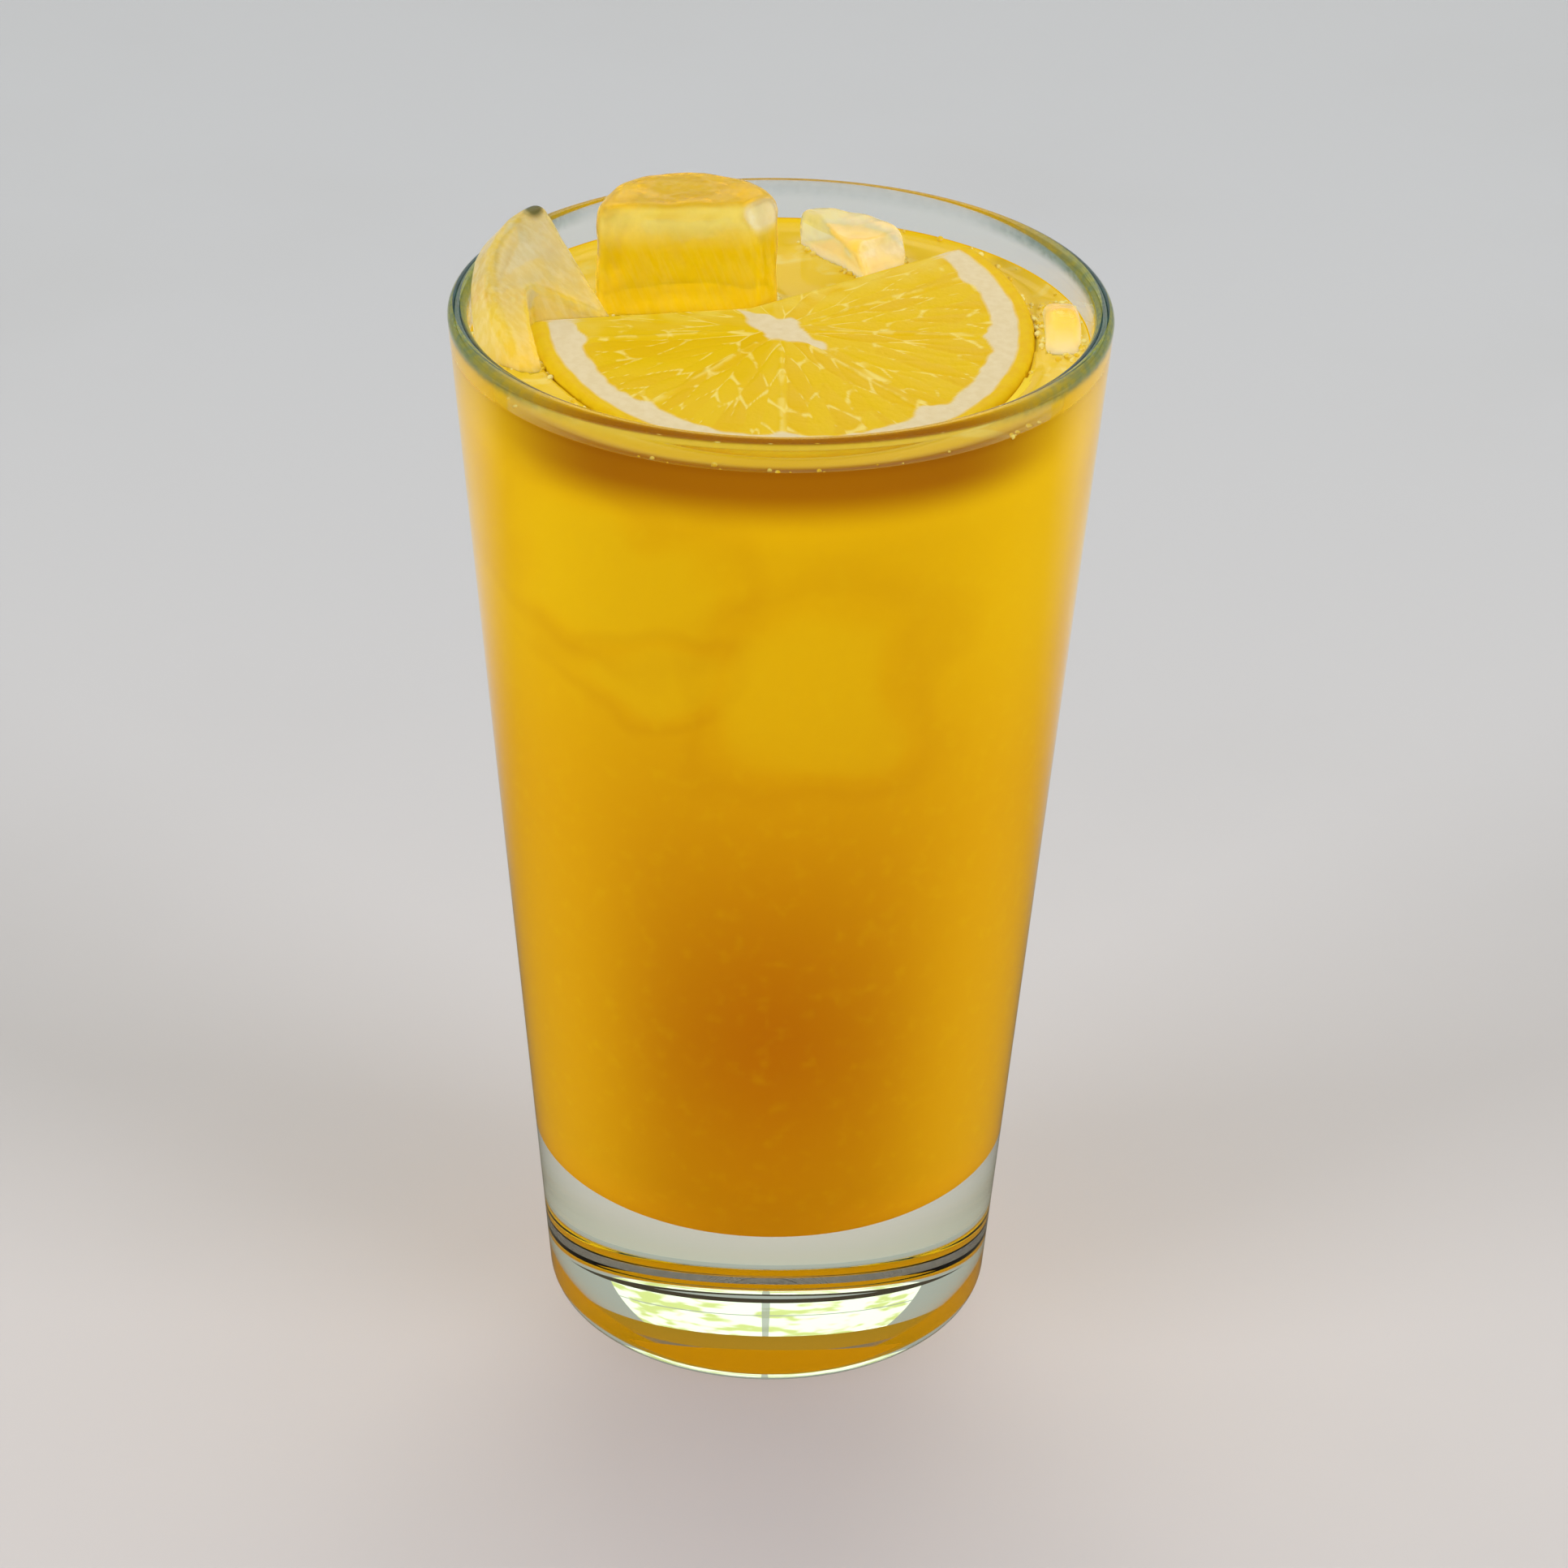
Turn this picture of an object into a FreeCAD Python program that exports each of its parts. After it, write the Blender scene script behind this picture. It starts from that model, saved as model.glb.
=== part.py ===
import FreeCAD, Part
import os
from math import asin, atan, atan2, cos, degrees, hypot, radians, sin, sqrt

import Sketcher

# A glass of ginger lemonade: a conical glass with a heavy foot, filled nearly to the brim, with an
# orange slice floating on the drink and four half-moon lumps of ice standing out of it.
# Millimetres and degrees. The origin is the middle of the foot, on the table; +Z is up, and the
# drinker sits at -Y.

doc = FreeCAD.newDocument("ginger_lemonade")

# ---------------------------------------------------------------------------------------------
# Driving sizes
# ---------------------------------------------------------------------------------------------

SIZES = {
    # the glass
    "glass_height": 151, "rim_diameter": 88, "base_diameter": 61, "rim_thickness": 2.6,
    "foot_wall": 3.0, "heel_radius": 4.5, "punt_depth": 2.0, "punt_diameter": 46,
    "floor_height": 21.4, "floor_radius": 150, "floor_corner": 12,
    # the drink, which stops short of the wall and of what floats in it
    "level_below_rim": 5.7, "fill_gap": 0.15, "seat_gap": 0.1,
    # the orange slice: an oval wheel with a wedge cut away behind its core
    "slice_side_room": 7.4, "slice_front_room": 4.6, "slice_thickness": 7, "slice_rind_round": 1.2,
    "slice_x": 0.35, "slice_y": 3.1, "slice_rise": 1.7, "slice_pitch": 1.7, "slice_roll": 5.1,
    "slice_core_x": -4.35, "slice_core_y": 3.1, "slice_left_cut": 11.9, "slice_right_cut": 34.6,
    # how far the ice keeps from the glass
    "ice_wall_gap": 0.5,
}

# Each lump of ice is a half moon: its radius, how far its flat side lies in front of the centre,
# its thickness, how round its edges have melted, the place of its centre from what it lies against
# (the last is the height above the drink) and its yaw, pitch and roll.
ICE = {
    "ice_left": (19, 0.5, 12, 1.6, 15.7, 5.4, -2.6, 134, -41, 5),
    "ice_middle": (12.4, 1.9, 30, 2.2, -8.0, 6.3, 0.8, 4, 0, 0),
    "ice_back": (9.5, 0.5, 16, 1.4, 7.0, -15.5, -2.8, -57, 3, -4),
    "ice_right": (14, 1.0, 4.8, 1.4, -3.6, 4.5, -11.0, 90, 0, 90),
}
ICE_SIZES = ("radius", "flat", "thick", "melt", "x", "y", "rise", "yaw", "pitch", "roll")
for piece, values in ICE.items():
    SIZES.update({f"{piece}_{word}": value for word, value in zip(ICE_SIZES, values)})
SIZES["ice_middle_corner"] = 3.6

sheet = doc.addObject("Spreadsheet::Sheet", "sizes")
for row, (alias, value) in enumerate(SIZES.items(), 1):
    sheet.set(f"A{row}", alias)
    sheet.set(f"B{row}", str(value))
    sheet.setAlias(f"B{row}", alias)
doc.recompute()


def size(alias):
    """The value of one cell of the sheet."""
    return float(sheet.get(alias))


def value_of(formula):
    """The present value of a formula on the sheet."""
    return float(sheet.evalExpression(formula.replace("sizes.", "")))


# Formulas that more than one piece is bound to.
LEVEL = "(sizes.glass_height - sizes.level_below_rim)"
BORE_TOP = "(sizes.rim_diameter / 2 - sizes.rim_thickness)"
BORE_FOOT = "(sizes.base_diameter / 2 - sizes.foot_wall)"
BORE_AT_LEVEL = f"({BORE_FOOT} + ({BORE_TOP} - {BORE_FOOT}) * {LEVEL} / sizes.glass_height)"


def put(obj, x, y, z, yaw="0", pitch="0", roll="0"):
    """Bind an object's placement to the sheet."""
    obj.setExpression("Placement", f"placement(vector({x}; {y}; {z}); rotation({yaw}; {pitch}; {roll}))")


# ---------------------------------------------------------------------------------------------
# Sketch helpers
# ---------------------------------------------------------------------------------------------

H_AXIS, V_AXIS = -1, -2          # a sketch's own axes, as its constraints name them
START, END, CENTRE = 1, 2, 3     # the points of an edge


def new_sketch(body, plane):
    """An empty sketch on one of the body's own origin planes."""
    sketch = body.newObject("Sketcher::SketchObject", f"{body.Name}_outline")
    origin_plane = next(o for o in body.Origin.OriginFeatures if o.Role == plane)
    sketch.AttachmentSupport = [(origin_plane, "")]
    sketch.MapMode = "FlatFace"
    return sketch


def line(sketch, start, end, construction=False):
    edge = Part.LineSegment(FreeCAD.Vector(*start, 0), FreeCAD.Vector(*end, 0))
    return sketch.addGeometry(edge, construction)


def arc(sketch, centre, radius, start_deg, end_deg):
    circle = Part.Circle(FreeCAD.Vector(*centre, 0), FreeCAD.Vector(0, 0, 1), radius)
    return sketch.addGeometry(Part.ArcOfCircle(circle, radians(start_deg), radians(end_deg)), False)


def rule(sketch, kind, *where):
    sketch.addConstraint(Sketcher.Constraint(kind, *where))


def dimension(sketch, kind, *where, formula):
    """A dimension whose value is bound to the sheet."""
    index = sketch.addConstraint(Sketcher.Constraint(kind, *where, value_of(formula)))
    sketch.setExpression(f"Constraints[{index}]", formula)


def place_point(sketch, edge, point, x, y):
    """Fix a point of an edge by its two distances from the sketch's origin."""
    dimension(sketch, "DistanceX", edge, point, formula=x)
    if y == "0":
        rule(sketch, "PointOnObject", edge, point, H_AXIS)
    else:
        dimension(sketch, "DistanceY", edge, point, formula=y)


def turn(body, sketch):
    """Turn a sketch once round the vertical axis."""
    solid = body.newObject("PartDesign::Revolution", f"{body.Name}_turned")
    solid.Profile = sketch
    solid.ReferenceAxis = (sketch, ["V_Axis"])
    solid.Angle = 360
    sketch.Visibility = False
    return solid


# ---------------------------------------------------------------------------------------------
# The glass and the drink: turned shapes that share the line of the inner wall
# ---------------------------------------------------------------------------------------------

def inner_wall(sketch, inset, top):
    """
    The inside of the glass, moved inwards by inset: the straight wall up to the height top, the
    round corner at the floor, and the dished floor. Returns the three edges.
    """
    radius_foot = f"({BORE_FOOT} - {inset})"
    radius_top = f"({BORE_TOP} - {inset})"
    corner_radius = f"(sizes.floor_corner - {inset})"
    dish_radius = f"(sizes.floor_radius - {inset})"
    floor = f"(sizes.floor_height + {inset})"

    slope = (value_of(radius_top) - value_of(radius_foot)) / size("glass_height")
    lean = atan(slope)
    corner, dish = value_of(corner_radius), value_of(dish_radius)
    dish_centre = value_of(floor) + dish
    x, z = value_of(radius_foot) - corner, value_of(floor) + corner
    for _ in range(20):          # the corner touches the wall and the floor
        x = value_of(radius_foot) + slope * z - corner / cos(lean)
        z = dish_centre - sqrt((dish - corner) ** 2 - x ** 2)
    floor_deg = degrees(atan2(z - dish_centre, x))
    wall_foot = (x + corner * cos(lean), z - corner * sin(lean))
    wall_top = (value_of(radius_foot) + slope * value_of(top), value_of(top))

    guide = line(sketch, (value_of(radius_foot), 0), (value_of(radius_top), size("glass_height")), True)
    wall_edge = line(sketch, wall_top, wall_foot)
    corner_edge = arc(sketch, (x, z), corner, floor_deg, -degrees(lean))
    floor_edge = arc(sketch, (0, dish_centre), dish, -90, floor_deg)
    place_point(sketch, guide, START, radius_foot, "0")
    place_point(sketch, guide, END, radius_top, "sizes.glass_height")
    rule(sketch, "PointOnObject", wall_edge, START, guide)
    rule(sketch, "PointOnObject", wall_edge, END, guide)
    rule(sketch, "Tangent", wall_edge, END, corner_edge, END)
    rule(sketch, "Tangent", corner_edge, START, floor_edge, END)
    rule(sketch, "PointOnObject", floor_edge, CENTRE, V_AXIS)
    rule(sketch, "PointOnObject", floor_edge, START, V_AXIS)
    dimension(sketch, "Radius", corner_edge, formula=corner_radius)
    dimension(sketch, "Radius", floor_edge, formula=dish_radius)
    dimension(sketch, "DistanceY", floor_edge, START, formula=floor)
    return wall_edge, corner_edge, floor_edge


def make_glass():
    """
    One piece of pressed glass: a straight conical wall with a round lip, a heavy clear foot with a
    round heel, and a shallow hollow under it that leaves a ring to stand on.
    """
    body = doc.addObject("PartDesign::Body", "glass")
    sketch = new_sketch(body, "XZ_Plane")
    height = size("glass_height")
    wall_edge, _, floor_edge = inner_wall(sketch, "0", "sizes.glass_height - sizes.rim_thickness / 2")

    base_radius, rim_radius = size("base_diameter") / 2, size("rim_diameter") / 2
    slope = (rim_radius - base_radius) / height
    lean = degrees(atan(slope))
    heel, lip = size("heel_radius"), size("rim_thickness") / 2
    heel_x = base_radius + slope * heel - heel / cos(radians(lean))
    lip_x = rim_radius - slope * lip - lip
    punt_rim, punt = size("punt_diameter") / 2, size("punt_depth")
    punt_radius = (punt_rim ** 2 + punt ** 2) / (2 * punt)
    punt_deg = degrees(atan2(punt_radius - punt, punt_rim))

    guide = line(sketch, (base_radius, 0), (rim_radius, height), True)
    top = line(sketch, (0, height), (rim_radius, height), True)
    outer = line(sketch, (base_radius + slope * heel, heel), (rim_radius - slope * lip, height - lip))
    lip_edge = arc(sketch, (lip_x, height - lip), lip, -lean, 180 - lean)
    heel_edge = arc(sketch, (heel_x, heel), heel, -90, -lean)
    foot = line(sketch, (punt_rim, 0), (heel_x, 0))
    punt_edge = arc(sketch, (0, punt - punt_radius), punt_radius, punt_deg, 90)
    axis = line(sketch, (0, punt), (0, size("floor_height")))

    place_point(sketch, guide, START, "sizes.base_diameter / 2", "0")
    place_point(sketch, guide, END, "sizes.rim_diameter / 2", "sizes.glass_height")
    rule(sketch, "Horizontal", top)
    rule(sketch, "PointOnObject", top, START, V_AXIS)
    rule(sketch, "Coincident", top, END, guide, END)
    for point in (START, END):
        rule(sketch, "PointOnObject", outer, point, guide)
        rule(sketch, "PointOnObject", foot, point, H_AXIS)
    rule(sketch, "Tangent", outer, END, lip_edge, START)
    rule(sketch, "Tangent", lip_edge, END, wall_edge, START)
    rule(sketch, "Tangent", lip_edge, top)
    rule(sketch, "Tangent", foot, END, heel_edge, START)
    rule(sketch, "Tangent", heel_edge, END, outer, START)
    rule(sketch, "Coincident", punt_edge, START, foot, START)
    rule(sketch, "Coincident", punt_edge, END, axis, START)
    rule(sketch, "Coincident", axis, END, floor_edge, START)
    rule(sketch, "PointOnObject", punt_edge, CENTRE, V_AXIS)
    rule(sketch, "PointOnObject", punt_edge, END, V_AXIS)
    dimension(sketch, "Radius", heel_edge, formula="sizes.heel_radius")
    dimension(sketch, "DistanceX", punt_edge, START, formula="sizes.punt_diameter / 2")
    dimension(sketch, "DistanceY", punt_edge, END, formula="sizes.punt_depth")
    turn(body, sketch)
    return body


def make_fill():
    """The glass's contents up to the level of the drink, before anything sits in them."""
    body = doc.addObject("PartDesign::Body", "fill")
    sketch = new_sketch(body, "XZ_Plane")
    wall_edge, _, floor_edge = inner_wall(sketch, "sizes.fill_gap", LEVEL)
    level = value_of(LEVEL)
    surface = line(sketch, (0, level), (value_of(BORE_AT_LEVEL), level))
    axis = line(sketch, (0, size("floor_height")), (0, level))
    rule(sketch, "Horizontal", surface)
    rule(sketch, "Coincident", surface, END, wall_edge, START)
    rule(sketch, "Coincident", surface, START, axis, END)
    rule(sketch, "Coincident", axis, START, floor_edge, START)
    rule(sketch, "Vertical", axis)
    dimension(sketch, "DistanceY", axis, END, formula=LEVEL)
    turn(body, sketch)
    return body


def make_bore_room():
    """The room inside the glass that the ice may fill, carried on above the rim."""
    lower = doc.addObject("Part::Cone", "bore_cone")
    lower.setExpression("Radius1", f"{BORE_FOOT} - sizes.ice_wall_gap")
    lower.setExpression("Radius2", f"{BORE_TOP} - sizes.ice_wall_gap")
    lower.setExpression("Height", "sizes.glass_height")
    upper = doc.addObject("Part::Cylinder", "bore_above")
    upper.setExpression("Radius", f"{BORE_TOP} - sizes.ice_wall_gap")
    upper.setExpression("Height", "sizes.ice_middle_thick")
    put(upper, "0", "0", "sizes.glass_height")
    room = doc.addObject("Part::Fuse", "bore_room")
    room.Base, room.Tool = lower, upper
    return room


# ---------------------------------------------------------------------------------------------
# The orange slice
# ---------------------------------------------------------------------------------------------

def oval_wheel(name, grow):
    """
    A slice's oval, grown all round and lying under its own z = 0, with the wedge behind the core cut
    away by two boxes whose fronts meet at the core.
    """
    oval = doc.addObject("Part::Ellipse", f"{name}_oval")
    oval.setExpression("MajorRadius", f"{BORE_AT_LEVEL} - sizes.slice_front_room + {grow}")
    oval.setExpression("MinorRadius", f"{BORE_AT_LEVEL} - sizes.slice_side_room + {grow}")
    put(oval, "0", "0", grow, yaw="90")
    wheel = doc.addObject("Part::Extrusion", f"{name}_wheel")
    wheel.Base = oval
    wheel.Solid = True
    wheel.Dir = FreeCAD.Vector(0, 0, -1)
    wheel.setExpression("LengthFwd", f"sizes.slice_thickness + 2 * {grow}")
    sides = []
    for side, turned in (("left", "sizes.slice_left_cut"), ("right", "sizes.slice_right_cut")):
        box = doc.addObject("Part::Box", f"{name}_{side}_cut")
        box.setExpression("Length", "4 * sizes.rim_diameter")
        box.setExpression("Width", "sizes.rim_diameter")
        box.setExpression("Height", "3 * sizes.slice_thickness")
        reach = "(2 * sizes.rim_diameter)"
        put(box, f"sizes.slice_core_x - {reach} * cos({turned}) - {grow} * sin({turned})",
            f"sizes.slice_core_y - {reach} * sin({turned}) + {grow} * cos({turned})",
            "-2 * sizes.slice_thickness", yaw=turned)
        sides.append(box)
    wedge = doc.addObject("Part::Common", f"{name}_wedge")
    wedge.Base, wedge.Tool = sides
    cut = doc.addObject("Part::Cut", f"{name}_cut")
    cut.Base, cut.Tool = wheel, wedge
    return cut


def lay_slice(obj):
    """A slice lies a little proud of the drink, its far side lifted by the ice."""
    put(obj, "sizes.slice_x", "sizes.slice_y", f"{LEVEL} + sizes.slice_rise",
        "0", "sizes.slice_pitch", "sizes.slice_roll")


def make_slice():
    """The slice itself, with the edges of its rind rounded."""
    cut = oval_wheel("slice", "0")
    doc.recompute()
    rind = [index for index, edge in enumerate(cut.Shape.Edges, 1) if edge.Curve.TypeId == "Part::GeomEllipse"]
    rounded = doc.addObject("Part::Fillet", "orange_slice")
    rounded.Base = cut
    rounded.Edges = [(index, size("slice_rind_round"), size("slice_rind_round")) for index in rind]
    lay_slice(rounded)
    return rounded


# ---------------------------------------------------------------------------------------------
# The ice
# ---------------------------------------------------------------------------------------------

# What the place of each lump is measured from: the glass wall at the level of the drink, on the
# left, at the back or on the right, or the core of the slice.
LEANS_ON = {
    "ice_left": (f"-{BORE_AT_LEVEL}", "0"),
    "ice_middle": ("sizes.slice_core_x", "sizes.slice_core_y"),
    "ice_back": ("0", BORE_AT_LEVEL),
    "ice_right": (BORE_AT_LEVEL, "0"),
}


def half_moon(piece, name, grow):
    """
    A half moon of ice from a machine with round moulds: flat in front, round behind, its middle at
    the origin. Grown by grow it is the seat that the piece leaves in the drink, and has no melted
    edges.
    """
    body = doc.addObject("PartDesign::Body", name)
    sketch = new_sketch(body, "XY_Plane")
    radius, flat = size(f"{piece}_radius"), size(f"{piece}_flat")
    dip = degrees(asin(flat / radius))
    round_edge = arc(sketch, (0, 0), radius, -dip, 180 + dip)
    half = sqrt(radius ** 2 - flat ** 2)
    flat_edge = line(sketch, (-half, -flat), (half, -flat))
    rule(sketch, "Coincident", round_edge, CENTRE, H_AXIS, START)
    rule(sketch, "Coincident", round_edge, START, flat_edge, END)
    rule(sketch, "Coincident", round_edge, END, flat_edge, START)
    rule(sketch, "Horizontal", flat_edge)
    dimension(sketch, "Radius", round_edge, formula=f"sizes.{piece}_radius + {grow}")
    dimension(sketch, "DistanceY", flat_edge, START, H_AXIS, START, formula=f"sizes.{piece}_flat + {grow}")

    lump = body.newObject("PartDesign::Pad", f"{name}_lump")
    lump.Profile = sketch
    lump.Midplane = True
    lump.setExpression("Length", f"sizes.{piece}_thick + 2 * {grow}")
    sketch.Visibility = False
    doc.recompute()
    if f"{piece}_corner" in SIZES:
        corner = max(range(len(lump.Shape.Edges)), key=lambda i: corner_rank(lump.Shape.Edges[i]))
        bevel = body.newObject("PartDesign::Chamfer", f"{name}_corner")
        bevel.Base = (lump, [f"Edge{corner + 1}"])
        bevel.setExpression("Size", f"sizes.{piece}_corner")
        doc.recompute()
        lump = bevel
    if grow == "0":
        melted = body.newObject("PartDesign::Fillet", f"{name}_melted")
        melted.Base = (lump, [f"Edge{i + 1}" for i in range(len(lump.Shape.Edges))])
        melted.setExpression("Radius", f"sizes.{piece}_melt")
    from_x, from_y = LEANS_ON[piece]
    put(body, f"{from_x} + sizes.{piece}_x", f"{from_y} + sizes.{piece}_y", f"{LEVEL} + sizes.{piece}_rise",
        f"sizes.{piece}_yaw", f"sizes.{piece}_pitch", f"sizes.{piece}_roll")
    return body


def corner_rank(edge):
    """Highest for the upright edge at the right end of a half moon's flat side."""
    ends = [vertex.Point for vertex in edge.Vertexes]
    upright = len(ends) == 2 and hypot(ends[0].x - ends[1].x, ends[0].y - ends[1].y) < 1e-6
    return ends[0].x - ends[0].y if upright else -1e9


def trimmed(name, lump, room, neighbours):
    """A lump of ice, melted back to the glass and to the seats of what it lies against."""
    inside = doc.addObject("Part::Common", f"{name}_inside")
    inside.Base, inside.Tool = lump, room
    cut = doc.addObject("Part::Cut", name)
    cut.Base = inside
    cut.Tool = together(f"{name}_neighbours", neighbours)
    return cut


def together(name, shapes):
    if len(shapes) == 1:
        return shapes[0]
    joined = doc.addObject("Part::MultiFuse", name)
    joined.Shapes = shapes
    return joined


# ---------------------------------------------------------------------------------------------
# The whole drink
# ---------------------------------------------------------------------------------------------

GAP = "sizes.seat_gap"
glass = make_glass()
fill = make_fill()
bore_room = make_bore_room()
orange_slice = make_slice()
slice_seat = oval_wheel("slice_seat", GAP)
lay_slice(slice_seat)

ice_seats = {piece: half_moon(piece, f"{piece}_seat", GAP) for piece in ICE}
LIES_AGAINST = {"ice_middle": [], "ice_left": ["ice_middle"], "ice_back": ["ice_middle"], "ice_right": []}
ice = []
for piece, others in LIES_AGAINST.items():
    seats = [slice_seat] + [ice_seats[other] for other in others]
    ice.append(trimmed(piece, half_moon(piece, f"{piece}_whole", "0"), bore_room, seats))

lemonade = doc.addObject("Part::Cut", "lemonade")
lemonade.Base = fill
lemonade.Tool = together("seats", [slice_seat] + list(ice_seats.values()))

for node in (glass, lemonade, orange_slice, *ice):
    node.Label = node.Name
doc.recompute()

# ---------------------------------------------------------------------------------------------
# Check and write
# ---------------------------------------------------------------------------------------------

for obj in doc.Objects:
    bad = [state for state in obj.State if state in ("Invalid", "Error")]
    if bad:
        raise RuntimeError(f"{obj.Label}: {bad}")

NODES = [glass, lemonade, orange_slice] + ice
for node in NODES:
    shape = node.Shape
    if shape.isNull() or not shape.isValid() or len(shape.Solids) != 1 or shape.Volume <= 0:
        raise RuntimeError(f"{node.Label}: {len(shape.Solids)} solids")

os.makedirs("parts", exist_ok=True)
for node in NODES:
    node.Shape.exportStep(f"parts/{node.Label}.step")
    box = node.Shape.optimalBoundingBox(True, False)
    print(f"{node.Label}: {node.Shape.Volume / 1000:.2f} cm3, x {box.XMin:.1f}..{box.XMax:.1f}, "
          f"y {box.YMin:.1f}..{box.YMax:.1f}, z {box.ZMin:.1f}..{box.ZMax:.1f}")
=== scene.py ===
from math import atan, atan2, cos, degrees, exp, hypot, pi, radians, sin, sqrt

import bmesh
import bpy
import numpy as np
from mathutils import Euler, Matrix, Vector, noise
from mathutils.bvhtree import BVHTree


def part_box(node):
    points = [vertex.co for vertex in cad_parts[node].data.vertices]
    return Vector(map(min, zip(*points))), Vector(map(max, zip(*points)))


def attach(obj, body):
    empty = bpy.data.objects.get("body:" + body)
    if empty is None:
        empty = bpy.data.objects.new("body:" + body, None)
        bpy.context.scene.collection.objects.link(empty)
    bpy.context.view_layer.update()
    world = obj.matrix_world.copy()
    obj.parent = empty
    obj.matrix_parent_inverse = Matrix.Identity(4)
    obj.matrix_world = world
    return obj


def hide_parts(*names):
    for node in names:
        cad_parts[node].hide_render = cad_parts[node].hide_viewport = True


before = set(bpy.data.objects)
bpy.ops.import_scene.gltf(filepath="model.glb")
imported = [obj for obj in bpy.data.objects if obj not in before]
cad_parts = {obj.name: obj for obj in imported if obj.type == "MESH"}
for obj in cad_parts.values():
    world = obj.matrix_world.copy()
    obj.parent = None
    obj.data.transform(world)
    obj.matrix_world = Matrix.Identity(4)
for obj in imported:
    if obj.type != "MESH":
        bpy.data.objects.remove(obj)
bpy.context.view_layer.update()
scene = bpy.context.scene
scene.view_settings.view_transform = "Standard"

# ------------------------------------------------------------------------------------------------
# The camera and the room. The glass stands on a pale table in front of a tall window, whose light
# comes from behind and a little above; a pale wall and soft lamps are on the viewer's side.
# ------------------------------------------------------------------------------------------------

EYE = Vector((0, -0.7255, 0.4662))
AIM = Vector((0.0014, 0, 0.0792))
CAMERA_ROLL = radians(0.93)

camera_data = bpy.data.cameras.new("camera")
camera_data.sensor_width = 36
camera_data.lens = 137.65
camera_data.clip_start = 0.01
camera = bpy.data.objects.new("camera", camera_data)
scene.collection.objects.link(camera)
look = (AIM - EYE).to_track_quat("-Z", "Y").to_matrix().to_4x4()
camera.matrix_world = Matrix.Translation(EYE) @ look @ Matrix.Rotation(CAMERA_ROLL, 4, "Z")
scene.camera = camera


class Wire:
    """One output of a node. Arithmetic on wires adds Math nodes."""

    def __init__(self, shader, socket):
        self.shader, self.socket = shader, socket

    def math(self, operation, *values):
        return self.shader.node("ShaderNodeMath", {"operation": operation}, dict(enumerate(values)))

    def __add__(self, other):
        return self.math("ADD", self, other)

    __radd__ = __add__

    def __sub__(self, other):
        return self.math("SUBTRACT", self, other)

    def __rsub__(self, other):
        return self.math("SUBTRACT", other, self)

    def __mul__(self, other):
        return self.math("MULTIPLY", self, other)

    __rmul__ = __mul__

    def __truediv__(self, other):
        return self.math("DIVIDE", self, other)

    def __gt__(self, other):
        return self.math("GREATER_THAN", self, other)

    def __lt__(self, other):
        return self.math("LESS_THAN", self, other)

    def power(self, exponent):
        return self.math("POWER", self, exponent)

    def size(self):
        return self.math("ABSOLUTE", self)

    def most(self, other):
        return self.math("MAXIMUM", self, other)

    def rise(self, low, high):
        """0 below low, 1 above high, smooth between; the other way round if low is the larger."""
        return self.shader.node(
            "ShaderNodeMapRange", {"interpolation_type": "SMOOTHSTEP"},
            {"Value": self, "From Min": low, "From Max": high})


class Shader:
    """The nodes of one material, or of the world."""

    def __init__(self, owner):
        owner.use_nodes = True
        self.tree = owner.node_tree
        self.tree.nodes.clear()

    def node(self, kind, settings=None, sockets=None, output=0):
        """Add a node: its settings are set first, then the values or wires of its sockets."""
        new = self.tree.nodes.new(kind)
        for name, value in (settings or {}).items():
            setattr(new, name, value)
        for name, value in (sockets or {}).items():
            if isinstance(value, Wire):
                self.tree.links.new(value.socket, new.inputs[name])
            else:
                new.inputs[name].default_value = value
        return Wire(self, new.outputs[output]) if new.outputs else None

    def blend(self, share, first, second):
        """A colour between two colours."""
        first, second = [value if isinstance(value, Wire) else (*value, 1) for value in (first, second)]
        return self.node("ShaderNodeMix", {"data_type": "RGBA"}, {0: share, 6: first, 7: second}, 2)

    def place(self):
        """Where a point of the piece is, in the piece's own metres."""
        return self.node("ShaderNodeTexCoord", output="Object")

    def parts(self, vector):
        """The three numbers of a vector."""
        split = self.node("ShaderNodeSeparateXYZ", sockets={0: vector}).socket.node
        return [Wire(self, socket) for socket in split.outputs]

    def noise(self, where, scale, detail=2.0, roughness=0.5, distortion=0.0):
        sockets = {"Vector": where, "Scale": scale, "Detail": detail, "Roughness": roughness,
                   "Distortion": distortion}
        return self.node("ShaderNodeTexNoise", sockets=sockets)

    def bump(self, height, depth):
        """A normal for a relief, with its depth in metres."""
        return self.node("ShaderNodeBump", sockets={"Height": height, "Distance": depth, "Strength": 1.0},
                         output="Normal")

    def attribute(self, name):
        return self.node("ShaderNodeAttribute", {"attribute_name": name}, output="Fac")

    def principled(self, sockets):
        return self.node("ShaderNodeBsdfPrincipled", sockets=sockets)

    def rays(self, kind):
        """1 for the rays of one kind, such as Is Shadow Ray, and 0 for all others."""
        return self.node("ShaderNodeLightPath", output=kind)

    def open_to_light(self, surface, tint):
        """A clear surface that lets shadow rays and soft light pass straight through it, with a tint."""
        through = self.node("ShaderNodeBsdfTransparent", sockets={"Color": (*tint, 1)})
        passing = self.rays("Is Shadow Ray").most(self.rays("Is Diffuse Ray"))
        return self.node("ShaderNodeMixShader", sockets={0: passing, 1: surface, 2: through})

    def finish(self, surface):
        self.node("ShaderNodeOutputMaterial", sockets={"Surface": surface})


def material(name):
    """A new material and its shader."""
    made = bpy.data.materials.new(name)
    return made, Shader(made)


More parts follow.
